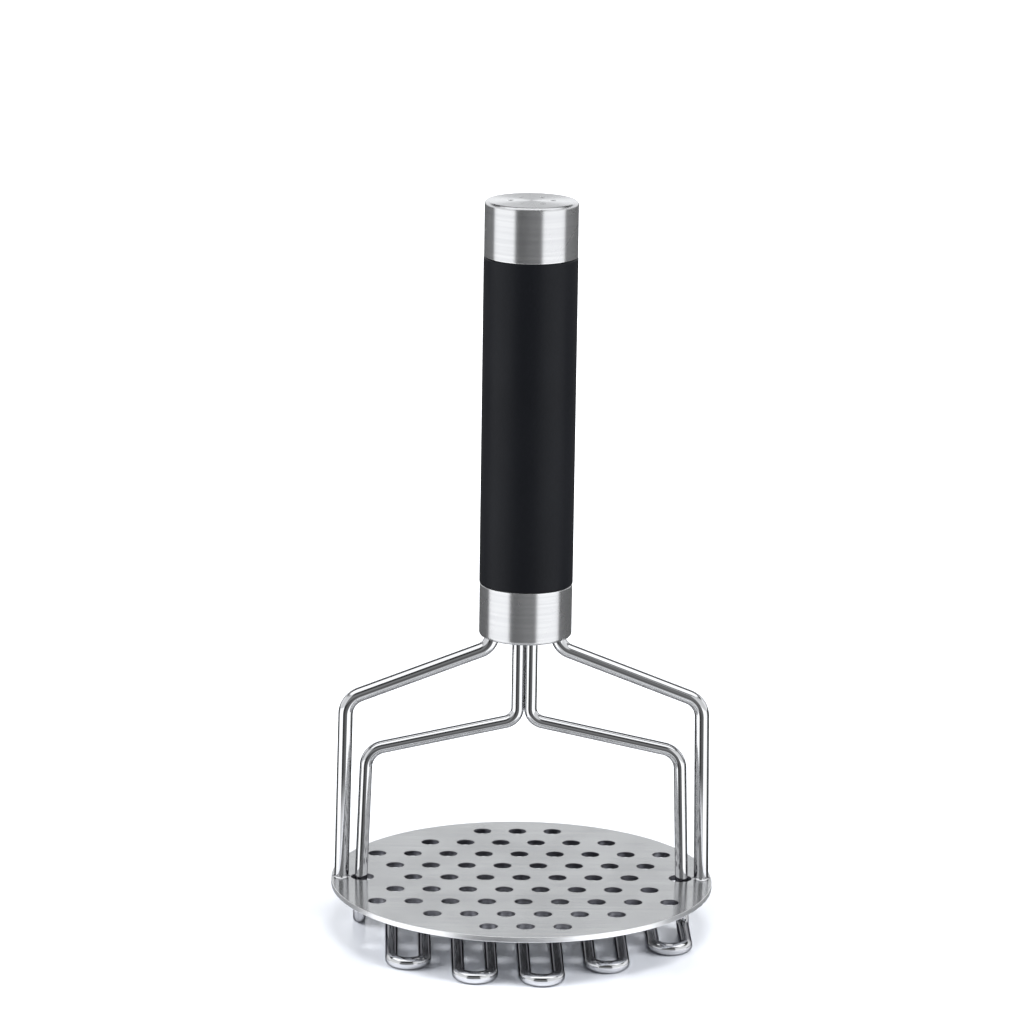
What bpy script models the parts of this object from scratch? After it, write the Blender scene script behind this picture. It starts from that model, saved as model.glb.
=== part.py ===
"""Two-stage potato ricer: a fixed perforated disc and a sprung wire grid under one round handle.

Metres, +Z up. The origin is on the table, under the handle's axis. Both wire frames lie in the XZ plane.
The press wire, the slider and the lower spring washer slide up the handle together.
"""

from math import acos, ceil, cos, hypot, pi, radians, sin, sqrt, tan

import bmesh
import bpy
from mathutils import Matrix, Vector

# Driving sizes: the head
DISC_RADIUS = 0.0528
DISC_THICKNESS = 0.0015
HOLE_RADIUS = 0.0024
HOLE_PITCH = 0.0100
HOLE_ROW_PITCH = 0.0108
HOLE_FIELD_RADIUS = 0.0456
HOLE_LAND = 0.0012
TRAVEL = 0.0090
TRAVEL_MARGIN = 0.0006

# Driving sizes: the wires
OUTER_WIRE_RADIUS = 0.0020
PRESS_WIRE_RADIUS = 0.00175
OUTER_FOOT_INSET = 0.0029
LEG_SPACING = 0.0058
LEG_FLARE = 0.0009
LEG_HOLE_CLEARANCE = 0.00135
GRID_SPREAD = 0.0008
GRID_WIRES = 11
GRID_RIM_INSET = 0.0003
GRID_BEND_TRIMS = (0.0017, 0.0004, 0.0003, 0.0060, 0.0037)
ELBOW_RADIUS = 0.0048
SHOULDER_RADIUS = 0.0055
ROOT_RADIUS = 0.0050
STEM_BEND_RADIUS = 0.0040
OUTER_SHOULDER_RISE = 0.0509
PRESS_SHOULDER_RISE = 0.0365
PRESS_ROOT_RISE = 0.0456

# Driving sizes: the handle
HANDLE_RISE = 0.0698
HANDLE_RADIUS = 0.0127
FERRULE_HEIGHT = 0.0147
GRIP_LENGTH = 0.0907
CAP_HEIGHT = 0.0152
SHELL_WALL = 0.0008
SHELL_ROUND = 0.0009
GRIP_PROUD = 0.0001
GRIP_WALL = 0.0011
CORE_WALL = 0.0012
VENT_COUNT = 6
VENT_RADIUS = 0.00075
VENT_RING_RADIUS = 0.0057

# Driving sizes: the mechanism
GAP = 0.0003
ROOT_WIRE_INSET = 0.0009
PLUG_FLANGE_HEIGHT = 0.0120
PLUG_SPIGOT_LENGTH = 0.0060
WIRE_POCKET_DEPTH = 0.0068
GUIDE_WALL = 0.0010
BUMPER_THICKNESS = 0.0015
SLIDER_LENGTH = 0.0130
HOOK_RADIUS = 0.0035
HOOK_END_INSET = 0.0019
WASHER_THICKNESS = 0.0010
WASHER_BORE_RADIUS = 0.0040
SPRING_WIRE_RADIUS = 0.00075
SPRING_CLEARANCE = 0.0009
SPRING_TURNS = 12
INSERT_SPIGOT_LENGTH = 0.0080
CORE_CAP_LAP = 0.0022
INSERT_BORE_RADIUS = 0.0040
INSERT_WELL_DEPTH = 0.0080
SCREW_RADIUS = 0.0015
SCREW_LENGTH = 0.0048

# Facets
ROUND_SEGMENTS = 40
SMALL_SEGMENTS = 12
ARC_STEP = radians(22)

# Heights, from the table up
GRID_AXIS_Z = PRESS_WIRE_RADIUS
DISC_BOTTOM_Z = 2 * PRESS_WIRE_RADIUS + TRAVEL + TRAVEL_MARGIN
DISC_TOP_Z = DISC_BOTTOM_Z + DISC_THICKNESS
HANDLE_BOTTOM_Z = DISC_TOP_Z + HANDLE_RISE
GRIP_BOTTOM_Z = HANDLE_BOTTOM_Z + FERRULE_HEIGHT
GRIP_TOP_Z = GRIP_BOTTOM_Z + GRIP_LENGTH
HANDLE_TOP_Z = GRIP_TOP_Z + CAP_HEIGHT
PLUG_BOTTOM_Z = HANDLE_BOTTOM_Z + SHELL_WALL + GAP
PLUG_SHOULDER_Z = PLUG_BOTTOM_Z + PLUG_FLANGE_HEIGHT
PLUG_TOP_Z = PLUG_SHOULDER_Z + PLUG_SPIGOT_LENGTH
BUMPER_TOP_Z = PLUG_TOP_Z + GAP + BUMPER_THICKNESS
SLIDER_BOTTOM_Z = BUMPER_TOP_Z + GAP
SLIDER_TOP_Z = SLIDER_BOTTOM_Z + SLIDER_LENGTH
HOOK_Z = SLIDER_TOP_Z - PRESS_WIRE_RADIUS
SPRING_BOTTOM_Z = SLIDER_TOP_Z + WASHER_THICKNESS + 2 * GAP
CORE_TOP_Z = GRIP_TOP_Z + CORE_CAP_LAP
INSERT_BOTTOM_Z = CORE_TOP_Z - INSERT_SPIGOT_LENGTH
SPRING_TOP_Z = INSERT_BOTTOM_Z - WASHER_THICKNESS - 2 * GAP

# Radii, from the outside in
SHELL_INNER_RADIUS = HANDLE_RADIUS - SHELL_WALL
FLANGE_RADIUS = SHELL_INNER_RADIUS - GAP
GRIP_RADIUS = HANDLE_RADIUS + GRIP_PROUD
CORE_RADIUS = GRIP_RADIUS - GRIP_WALL - GAP
CORE_INNER_RADIUS = CORE_RADIUS - CORE_WALL
SPIGOT_RADIUS = CORE_INNER_RADIUS - GAP
WASHER_RADIUS = SPIGOT_RADIUS - GAP

# Places of the wires along X
OUTER_FOOT_X = DISC_RADIUS - OUTER_FOOT_INSET
LEG_X = OUTER_FOOT_X - LEG_SPACING
GRID_X = LEG_X + GRID_SPREAD
GRID_PITCH = 2 * GRID_X / (GRID_WIRES - 1)
ROOT_X = SHELL_INNER_RADIUS - ROOT_WIRE_INSET - OUTER_WIRE_RADIUS
STEM_X = PRESS_WIRE_RADIUS
LEG_HOLE_RADIUS = PRESS_WIRE_RADIUS + LEG_HOLE_CLEARANCE
SLOT_HALF_LENGTH = STEM_X + PRESS_WIRE_RADIUS + GAP
SLOT_HALF_WIDTH = PRESS_WIRE_RADIUS + GAP


def clear_scene():
    """Remove every object of the scene that the script starts in."""
    for obj in list(bpy.data.objects):
        bpy.data.objects.remove(obj, do_unlink=True)


def make_material(name, colour, roughness, metallic):
    """Return a Principled material of one colour."""
    material = bpy.data.materials.new(name)
    material.use_nodes = True
    shader = material.node_tree.nodes["Principled BSDF"]
    shader.inputs["Base Color"].default_value = (*colour, 1.0)
    shader.inputs["Roughness"].default_value = roughness
    shader.inputs["Metallic"].default_value = metallic
    return material


def add_object(name, data, material):
    """Link a new object for this mesh or curve, with its material."""
    if material:
        data.materials.append(material)
    obj = bpy.data.objects.new(name, data)
    bpy.context.scene.collection.objects.link(obj)
    return obj


def add_mesh(name, shape, material):
    """Turn a bmesh into an object, with its faces pointing out and its round sides smooth."""
    bmesh.ops.remove_doubles(shape, verts=shape.verts, dist=1e-6)
    bmesh.ops.recalc_face_normals(shape, faces=shape.faces)
    mesh = bpy.data.meshes.new(name)
    shape.to_mesh(mesh)
    shape.free()
    mesh.shade_smooth()
    mesh.set_sharp_from_angle(angle=radians(30))
    return add_object(name, mesh, material)


def turned(name, profile, material, segments=ROUND_SEGMENTS):
    """Spin a closed (radius, height) profile round Z."""
    shape = bmesh.new()
    ring = [shape.verts.new((radius, 0.0, z)) for radius, z in profile]
    edges = [shape.edges.new((ring[i - 1], ring[i])) for i in range(len(ring))]
    bmesh.ops.spin(
        shape, geom=ring + edges, cent=(0, 0, 0), axis=(0, 0, 1), angle=2 * pi, steps=segments
    )
    bmesh.ops.dissolve_degenerate(shape, dist=1e-7, edges=shape.edges)
    return add_mesh(name, shape, material)


def ring_profile(inner, outer, bottom, top):
    """Return the square section of a plain ring."""
    return [(inner, bottom), (outer, bottom), (outer, top), (inner, top)]


def prism(name, outline, bottom, top, material=None):
    """Extrude a closed XY outline from one height to another."""
    shape = bmesh.new()
    floor = shape.faces.new([shape.verts.new((x, y, bottom)) for x, y in outline])
    raised = bmesh.ops.extrude_face_region(shape, geom=[floor])["geom"]
    upper = [item for item in raised if isinstance(item, bmesh.types.BMVert)]
    bmesh.ops.translate(shape, verts=upper, vec=(0, 0, top - bottom))
    return add_mesh(name, shape, material)


def circle(radius, centre=(0.0, 0.0), segments=SMALL_SEGMENTS):
    """Return the corners of a regular polygon on a circle."""
    turns = [2 * pi * (i + 0.5) / segments for i in range(segments)]
    return [(centre[0] + radius * cos(a), centre[1] + radius * sin(a)) for a in turns]


def rectangle(x0, x1, y0, y1):
    """Return the four corners of a rectangle."""
    return [(x0, y0), (x1, y0), (x1, y1), (x0, y1)]


def obround(half_length, half_width, steps=6):
    """Return a slot's outline: straight sides along X and a half circle at each end."""
    reach = half_length - half_width
    outline = []
    for side in (1, -1):
        for i in range(steps + 1):
            angle = pi * i / steps - side * pi / 2
            outline.append((side * reach + half_width * cos(angle), half_width * sin(angle)))
    return outline


def cut(target, cutters):
    """Take each cutter out of the target with a Boolean, and leave the cutters out of the render."""
    for cutter in cutters:
        cutter.hide_render = True
        cutter.display_type = "WIRE"
        modifier = target.modifiers.new(f"Cut by {cutter.name}", "BOOLEAN")
        modifier.operation = "DIFFERENCE"
        modifier.solver = "EXACT"
        modifier.object = cutter
    return target


def filleted(corners):
    """Return the points of a route whose inner corners, given as (point, radius), are rounded by arcs."""
    route = [corners[0][0]]
    for (before, _), (corner, radius), (after, _) in zip(corners, corners[1:], corners[2:]):
        back = (before - corner).normalized()
        ahead = (after - corner).normalized()
        half = acos(max(-1.0, min(1.0, back.dot(ahead)))) / 2
        centre = corner + (back + ahead).normalized() * (radius / sin(half))
        start = corner + back * (radius / tan(half)) - centre
        turn_axis = back.cross(ahead).normalized()
        turn = -(pi - 2 * half)
        steps = max(2, ceil(abs(turn) / ARC_STEP))
        for i in range(steps + 1):
            point = centre + Matrix.Rotation(turn * i / steps, 3, turn_axis) @ start
            if (point - route[-1]).length > 1e-6:
                route.append(point)
    route.append(corners[-1][0])
    return route


def wire(name, route, radius, material, bevel_resolution=3):
    """Sweep a round wire along a route, with closed ends."""
    curve = bpy.data.curves.new(name, "CURVE")
    curve.dimensions = "3D"
    curve.twist_mode = "MINIMUM"
    curve.bevel_depth = radius
    curve.bevel_resolution = bevel_resolution
    curve.use_fill_caps = True
    spline = curve.splines.new("POLY")
    spline.points.add(len(route) - 1)
    for point, place in zip(spline.points, route):
        point.co = (*place, 1.0)
    return add_object(name, curve, material)


def disc_holes():
    """Return the centres of the disc's holes: staggered rows inside the field, clear of the leg holes."""
    rows = int(HOLE_FIELD_RADIUS / HOLE_ROW_PITCH)
    columns = int(HOLE_FIELD_RADIUS / HOLE_PITCH) + 1
    keep_off = LEG_HOLE_RADIUS + HOLE_RADIUS + HOLE_LAND
    centres = []
    for row in range(-rows, rows + 1):
        shift = HOLE_PITCH / 2 if row % 2 else 0.0
        for column in range(-columns, columns + 1):
            x, y = column * HOLE_PITCH + shift, row * HOLE_ROW_PITCH
            if hypot(x, y) < HOLE_FIELD_RADIUS and hypot(abs(x) - LEG_X, y) > keep_off:
                centres.append((x, y))
    return centres


def perforated_disc(steel):
    """The round plate: a filled flat curve with a hole for each inner circle."""
    curve = bpy.data.curves.new("perforated_disc", "CURVE")
    curve.dimensions = "2D"
    curve.fill_mode = "BOTH"
    curve.extrude = DISC_THICKNESS / 2
    outlines = [circle(DISC_RADIUS, segments=72)]
    outlines += [circle(HOLE_RADIUS, centre) for centre in disc_holes()]
    outlines += [circle(LEG_HOLE_RADIUS, (side * LEG_X, 0.0), 16) for side in (-1, 1)]
    for outline in outlines:
        spline = curve.splines.new("POLY")
        spline.points.add(len(outline) - 1)
        spline.use_cyclic_u = True
        for point, (x, y) in zip(spline.points, outline):
            point.co = (x, y, 0.0, 1.0)
    plate = add_object("perforated_disc", curve, steel)
    plate.location.z = DISC_BOTTOM_Z + DISC_THICKNESS / 2
    return plate


def outer_wire(name, side, steel):
    """One outer wire: a root in the ferrule, a sloping arm, a shoulder and a leg standing on the disc."""
    root = Vector((side * ROOT_X, 0, HANDLE_BOTTOM_Z - ROOT_RADIUS * 0.68))
    shoulder = Vector((side * (OUTER_FOOT_X - LEG_FLARE), 0, DISC_TOP_Z + OUTER_SHOULDER_RISE))
    top = Vector((side * ROOT_X, 0, PLUG_BOTTOM_Z + WIRE_POCKET_DEPTH - GAP))
    foot = Vector((side * OUTER_FOOT_X, 0, DISC_TOP_Z + GAP))
    corners = [(top, 0), (root, ROOT_RADIUS), (shoulder, SHOULDER_RADIUS), (foot, 0)]
    return wire(name, filleted(corners), OUTER_WIRE_RADIUS, steel)


def grid_bends():
    """Return the end line of each front bend: where its two straight wires meet its half circle."""
    reach = DISC_RADIUS - GRID_RIM_INSET - GRID_PITCH / 2 - PRESS_WIRE_RADIUS
    centres = [-GRID_X + (1.5 + 2 * i) * GRID_PITCH for i in range(len(GRID_BEND_TRIMS))]
    return [sqrt(reach**2 - x**2) - trim for x, trim in zip(centres, GRID_BEND_TRIMS)]


def half_press_route(side):
    """Return the corners of half the press wire, from its hook down to the middle of the grid.

    The two halves are the same bent shape, turned half a turn about Z.
    """
    leg_top = Vector((-(LEG_X - LEG_FLARE), 0, DISC_TOP_Z + PRESS_SHOULDER_RISE))
    corners = [
        (Vector((-(SPIGOT_RADIUS - HOOK_END_INSET), 0, HOOK_Z)), 0),
        (Vector((-STEM_X, 0, HOOK_Z)), HOOK_RADIUS),
        (Vector((-STEM_X, 0, DISC_TOP_Z + PRESS_ROOT_RISE)), STEM_BEND_RADIUS),
        (leg_top, SHOULDER_RADIUS),
        (Vector((-GRID_X, 0, GRID_AXIS_Z)), ELBOW_RADIUS),
    ]
    front = grid_bends()
    back = front[::-1]
    bend_radius = GRID_PITCH / 2
    for i in range((GRID_WIRES - 1) // 2):
        end = back[i // 2] + bend_radius if i % 2 == 0 else -(front[i // 2] + bend_radius)
        for wire_number in (i, i + 1):
            x = -GRID_X + wire_number * GRID_PITCH
            corners.append((Vector((x, end, GRID_AXIS_Z)), bend_radius))
    half_turn = Matrix.Rotation(0 if side < 0 else pi, 3, "Z")
    return [(half_turn @ point, radius) for point, radius in corners]


def press_wire(steel):
    """The one wire of the press: hooks, stems, arms, legs and the grid under the disc."""
    left, right = half_press_route(-1), half_press_route(1)
    return wire("press_wire", filleted(left + right[::-1]), PRESS_WIRE_RADIUS, steel)


def shell_profile(closed_end, open_end):
    """Return the section of a drawn steel cup whose closed end is rounded outside."""
    up = 1 if open_end > closed_end else -1
    inner_floor = closed_end + up * SHELL_WALL
    arc = []
    for i in range(4):
        angle = pi / 2 * i / 3
        arc.append((
            HANDLE_RADIUS - SHELL_ROUND + SHELL_ROUND * sin(angle),
            closed_end + up * SHELL_ROUND * (1 - cos(angle)),
        ))
    return [(0, closed_end), *arc, (HANDLE_RADIUS, open_end), (SHELL_INNER_RADIUS, open_end),
            (SHELL_INNER_RADIUS, inner_floor), (0, inner_floor)]


def bottom_ferrule(steel):
    """The lower steel cup, punched for the two outer wires and for the pair of stems."""
    cup = turned("bottom_ferrule", shell_profile(HANDLE_BOTTOM_Z, GRIP_BOTTOM_Z), steel)
    bottom, top = HANDLE_BOTTOM_Z - 0.002, HANDLE_BOTTOM_Z + SHELL_WALL + 0.002
    punches = [prism("stem_punch", obround(SLOT_HALF_LENGTH + GAP, SLOT_HALF_WIDTH + GAP), bottom, top)]
    for side, label in ((-1, "left"), (1, "right")):
        hole = circle(OUTER_WIRE_RADIUS + GAP, (side * ROOT_X, 0.0))
        punches.append(prism(f"root_punch_{label}", hole, bottom, top))
    return cut(cup, punches)


def top_cap(steel):
    """The upper steel cup, with a ring of vent holes in its flat end."""
    cup = turned("top_cap", shell_profile(HANDLE_TOP_Z, GRIP_TOP_Z), steel)
    punches = []
    for i in range(VENT_COUNT):
        turn = 2 * pi * i / VENT_COUNT
        centre = (VENT_RING_RADIUS * cos(turn), VENT_RING_RADIUS * sin(turn))
        hole = circle(VENT_RADIUS, centre, 8)
        bottom, top = HANDLE_TOP_Z - SHELL_WALL - 0.002, HANDLE_TOP_Z + 0.002
        punches.append(prism(f"vent_punch_{i + 1}", hole, bottom, top))
    return cut(cup, punches)


def grip_sleeve(rubber):
    """The rubber sleeve between the two cups, its ends eased."""
    inner = GRIP_RADIUS - GRIP_WALL
    ease = GRIP_WALL / 4
    bottom, top = GRIP_BOTTOM_Z + GAP, GRIP_TOP_Z - GAP
    profile = [
        (inner, bottom), (GRIP_RADIUS - ease, bottom), (GRIP_RADIUS, bottom + ease),
        (GRIP_RADIUS, top - ease), (GRIP_RADIUS - ease, top), (inner, top),
    ]
    return turned("grip_sleeve", profile, rubber)


def screw_heights():
    """Return the heights of the lower and the upper pair of set screws."""
    return (PLUG_SHOULDER_Z + PLUG_TOP_Z) / 2 + GAP, INSERT_BOTTOM_Z + INSERT_SPIGOT_LENGTH / 2


def screw_bore(name, side, height, inner, outer):
    """A cutter for one radial screw hole, along side * Y, from one radius to another."""
    bore = prism(name, circle(SCREW_RADIUS + GAP), inner, outer)
    bore.rotation_euler.x = -side * pi / 2
    bore.location.z = height
    return bore


def core_tube(steel):
    """The tube that carries the handle, from the end plug to the cap insert."""
    tube = turned(
        "core_tube",
        ring_profile(CORE_INNER_RADIUS, CORE_RADIUS, PLUG_SHOULDER_Z + GAP, CORE_TOP_Z),
        steel,
    )
    bores = []
    for height, level in zip(screw_heights(), ("lower", "upper")):
        for side, label in ((-1, "front"), (1, "back")):
            name = f"core_bore_{level}_{label}"
            bores.append(screw_bore(name, side, height, SPIGOT_RADIUS - 0.001, CORE_RADIUS + 0.001))
    return cut(tube, bores)


def set_screw(name, side, height, steel):
    """A socket set screw, flush under the grip, that fixes a spigot in the core tube."""
    head = CORE_RADIUS - GAP
    tip = head - SCREW_LENGTH
    socket_radius, socket_depth = SCREW_RADIUS * 0.55, SCREW_RADIUS
    profile = [
        (0, tip), (SCREW_RADIUS * 0.5, tip), (SCREW_RADIUS, tip + SCREW_RADIUS * 0.5),
        (SCREW_RADIUS, head), (0, head),
    ]
    screw = turned(name, profile, steel, SMALL_SEGMENTS)
    socket = prism(f"{name}_socket", circle(socket_radius, segments=6), head - socket_depth, head + 0.001)
    for piece in (screw, socket):
        piece.rotation_euler.x = -side * pi / 2
        piece.location.z = height
    return cut(screw, [socket])


def end_plug(aluminium):
    """The turned plug in the ferrule: pockets for the outer wires, a seat for the stem guide."""
    profile = [
        (0, PLUG_BOTTOM_Z), (FLANGE_RADIUS, PLUG_BOTTOM_Z), (FLANGE_RADIUS, PLUG_SHOULDER_Z),
        (SPIGOT_RADIUS, PLUG_SHOULDER_Z), (SPIGOT_RADIUS, PLUG_TOP_Z), (0, PLUG_TOP_Z),
    ]
    plug = turned("end_plug", profile, aluminium)
    seat = obround(SLOT_HALF_LENGTH + GUIDE_WALL + GAP, SLOT_HALF_WIDTH + GUIDE_WALL + GAP)
    cutters = [prism("guide_seat_cutter", seat, PLUG_BOTTOM_Z - 0.001, PLUG_TOP_Z + 0.001)]
    half_width = OUTER_WIRE_RADIUS + GAP
    pocket_top = PLUG_BOTTOM_Z + WIRE_POCKET_DEPTH
    for side, label in ((-1, "left"), (1, "right")):
        x0, x1 = sorted((side * (ROOT_X - half_width), side * (FLANGE_RADIUS + 0.001)))
        pocket = rectangle(x0, x1, -half_width, half_width)
        cutters.append(prism(f"wire_pocket_{label}", pocket, PLUG_BOTTOM_Z - 0.001, pocket_top))
    bore_end = CORE_RADIUS - GAP - SCREW_LENGTH - GAP
    for side, label in ((-1, "front"), (1, "back")):
        name = f"plug_bore_{label}"
        cutters.append(screw_bore(name, side, screw_heights()[0], bore_end, CORE_RADIUS))
    return cut(plug, cutters)


def stem_guide(acetal):
    """The slotted bush that the two stems slide in."""
    outer = obround(SLOT_HALF_LENGTH + GUIDE_WALL, SLOT_HALF_WIDTH + GUIDE_WALL)
    guide = prism("stem_guide", outer, PLUG_BOTTOM_Z, PLUG_TOP_Z, acetal)
    slot = obround(SLOT_HALF_LENGTH, SLOT_HALF_WIDTH)
    return cut(guide, [prism("guide_slot_cutter", slot, PLUG_BOTTOM_Z - 0.001, PLUG_TOP_Z + 0.001)])


def stop_bumper(rubber):
    """The rubber ring on the end plug that the slider comes to rest on."""
    inner = SLOT_HALF_LENGTH + GUIDE_WALL + GAP
    profile = ring_profile(inner, WASHER_RADIUS, PLUG_TOP_Z + GAP, BUMPER_TOP_Z)
    return turned("stop_bumper", profile, rubber, 32)


def slider(acetal):
    """The piston on the stems, grooved across its top for the two hooks."""
    ease = 0.0006
    profile = [
        (0, SLIDER_BOTTOM_Z), (SPIGOT_RADIUS - ease, SLIDER_BOTTOM_Z),
        (SPIGOT_RADIUS, SLIDER_BOTTOM_Z + ease), (SPIGOT_RADIUS, SLIDER_TOP_Z - ease),
        (SPIGOT_RADIUS - ease, SLIDER_TOP_Z), (0, SLIDER_TOP_Z),
    ]
    piston = turned("slider", profile, acetal, 32)
    above = SLIDER_TOP_Z + 0.001
    groove_floor = HOOK_Z - PRESS_WIRE_RADIUS - GAP
    relief_floor = HOOK_Z - HOOK_RADIUS - GAP
    relief_x = STEM_X + HOOK_RADIUS + GAP
    groove_x = SPIGOT_RADIUS + 0.001
    width = SLOT_HALF_WIDTH
    slot = obround(SLOT_HALF_LENGTH, width)
    return cut(piston, [
        prism("slider_slot_cutter", slot, SLIDER_BOTTOM_Z - 0.001, above),
        prism("hook_relief_cutter", rectangle(-relief_x, relief_x, -width, width), relief_floor, above),
        prism("hook_groove_cutter", rectangle(-groove_x, groove_x, -width, width), groove_floor, above),
    ])


def spring_washer(name, bottom, steel):
    """A flat washer at one end of the spring."""
    profile = ring_profile(WASHER_BORE_RADIUS, WASHER_RADIUS, bottom, bottom + WASHER_THICKNESS)
    return turned(name, profile, steel, 32)


def press_spring(steel):
    """The compression spring, with one closed turn at each end."""
    coil_radius = CORE_INNER_RADIUS - SPRING_CLEARANCE - SPRING_WIRE_RADIUS
    closed_pitch = 2 * SPRING_WIRE_RADIUS + GAP / 2
    bottom, top = SPRING_BOTTOM_Z + SPRING_WIRE_RADIUS, SPRING_TOP_Z - SPRING_WIRE_RADIUS
    open_pitch = (top - bottom - 2 * closed_pitch) / (SPRING_TURNS - 2)
    steps_per_turn = 12
    route = []
    for i in range(SPRING_TURNS * steps_per_turn + 1):
        turns = i / steps_per_turn
        height = bottom + closed_pitch * min(turns, 1)
        height += open_pitch * min(max(turns - 1, 0), SPRING_TURNS - 2)
        height += closed_pitch * max(turns - (SPRING_TURNS - 1), 0)
        angle = 2 * pi * turns
        route.append(Vector((coil_radius * cos(angle), coil_radius * sin(angle), height)))
    return wire("press_spring", route, SPRING_WIRE_RADIUS, steel, bevel_resolution=1)


def cap_insert(acetal):
    """The plug in the core tube's upper end that the spring pushes on and the cap sits on."""
    flange_bottom, top = CORE_TOP_Z + GAP, HANDLE_TOP_Z - SHELL_WALL - GAP
    well_floor = top - INSERT_WELL_DEPTH
    well_radius = VENT_RING_RADIUS + VENT_RADIUS + 2 * GAP
    profile = [
        (INSERT_BORE_RADIUS, INSERT_BOTTOM_Z), (SPIGOT_RADIUS, INSERT_BOTTOM_Z),
        (SPIGOT_RADIUS, flange_bottom), (FLANGE_RADIUS, flange_bottom), (FLANGE_RADIUS, top),
        (well_radius, top), (well_radius, well_floor), (INSERT_BORE_RADIUS, well_floor),
    ]
    insert = turned("cap_insert", profile, acetal, 32)
    bore_end = CORE_RADIUS - GAP - SCREW_LENGTH - GAP
    bores = [
        screw_bore(f"insert_bore_{label}", side, screw_heights()[1], bore_end, CORE_RADIUS)
        for side, label in ((-1, "front"), (1, "back"))
    ]
    return cut(insert, bores)


def build():
    """Model every piece in its place."""
    polished = make_material("polished_steel", (0.62, 0.62, 0.63), 0.08, 1.0)
    brushed = make_material("brushed_steel", (0.58, 0.58, 0.59), 0.28, 1.0)
    rubber = make_material("black_rubber", (0.012, 0.013, 0.015), 0.55, 0.0)
    acetal = make_material("white_acetal", (0.75, 0.74, 0.70), 0.40, 0.0)
    aluminium = make_material("turned_aluminium", (0.60, 0.61, 0.62), 0.35, 1.0)
    spring_steel = make_material("spring_steel", (0.45, 0.45, 0.47), 0.25, 1.0)
    perforated_disc(brushed)
    outer_wire("outer_wire_left", -1, polished)
    outer_wire("outer_wire_right", 1, polished)
    bottom_ferrule(brushed)
    top_cap(brushed)
    grip_sleeve(rubber)
    core_tube(brushed)
    end_plug(aluminium)
    stem_guide(acetal)
    stop_bumper(rubber)
    cap_insert(acetal)
    for height, level in zip(screw_heights(), ("plug", "insert")):
        for side, label in ((-1, "front"), (1, "back")):
            set_screw(f"{level}_screw_{label}", side, height, spring_steel)
    spring_washer("upper_spring_washer", INSERT_BOTTOM_Z - GAP - WASHER_THICKNESS, spring_steel)
    press_spring(spring_steel)
    press_wire(polished)
    slider(acetal)
    spring_washer("lower_spring_washer", SLIDER_TOP_Z + GAP, spring_steel)


clear_scene()
build()
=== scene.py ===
"""Visual model of a two-stage potato ricer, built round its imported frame.

A round handle carries two bent outer wires with a punched disc on them. A second wire slides in the handle
on a spring and ends in a flat grid under the disc. Metres, +Z up, origin on the table under the handle.
"""

import logging
from abc import ABC, abstractmethod
from dataclasses import dataclass
from enum import Enum
from math import acos, ceil, cos, hypot, pi, radians, sin, tan

import bmesh
import bpy
from mathutils import Matrix, Vector


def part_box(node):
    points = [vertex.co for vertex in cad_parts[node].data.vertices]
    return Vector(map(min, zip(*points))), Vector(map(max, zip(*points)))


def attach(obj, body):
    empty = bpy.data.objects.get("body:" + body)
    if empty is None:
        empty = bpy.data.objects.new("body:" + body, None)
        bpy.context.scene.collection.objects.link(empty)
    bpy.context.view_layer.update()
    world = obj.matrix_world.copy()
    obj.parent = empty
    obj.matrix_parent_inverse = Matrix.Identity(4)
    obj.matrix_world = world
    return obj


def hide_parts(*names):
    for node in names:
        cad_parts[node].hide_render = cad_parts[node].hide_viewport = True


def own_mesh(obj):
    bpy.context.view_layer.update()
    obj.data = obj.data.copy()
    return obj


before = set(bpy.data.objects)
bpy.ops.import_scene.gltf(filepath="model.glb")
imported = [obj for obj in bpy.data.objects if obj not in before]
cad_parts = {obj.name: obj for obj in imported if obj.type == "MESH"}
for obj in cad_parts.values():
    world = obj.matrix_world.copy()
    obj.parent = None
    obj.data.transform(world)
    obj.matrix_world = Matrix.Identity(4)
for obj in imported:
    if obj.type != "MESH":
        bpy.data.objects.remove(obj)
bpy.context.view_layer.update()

LOG = logging.getLogger("potato_ricer")
SAME_PLACE = 1e-7
QUARTER_TURN = 0.25
CUT_PAST = 0.001
CUT_INSIDE = 0.002
Point = tuple[float, float]
Span = tuple[float, float]
Profile = list[Point]
Corner = tuple[Vector, float]
Colour = tuple[float, float, float]


class Body(Enum):
    """The two bodies of the tool."""

    HANDLE = "handle"
    PRESS = "press_frame"


class Run(Enum):
    """How a grain lies: the number of marks per metre along each axis of the coordinates it is laid on."""

    ACROSS = (26.0, 2300.0, 2300.0)
    AROUND = (38.0, 38.0, 2700.0)
    LENGTHWISE = (1500.0, 26.0, 1.0)


class Sheen(Enum):
    """What directs a grained metal's stretched highlight: nothing, its turning axis or its surface."""

    NONE = ""
    TURNED = "RADIAL"
    FLAT = "UV_MAP"


# ---------------------------------------------------------------- shader graphs


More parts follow.
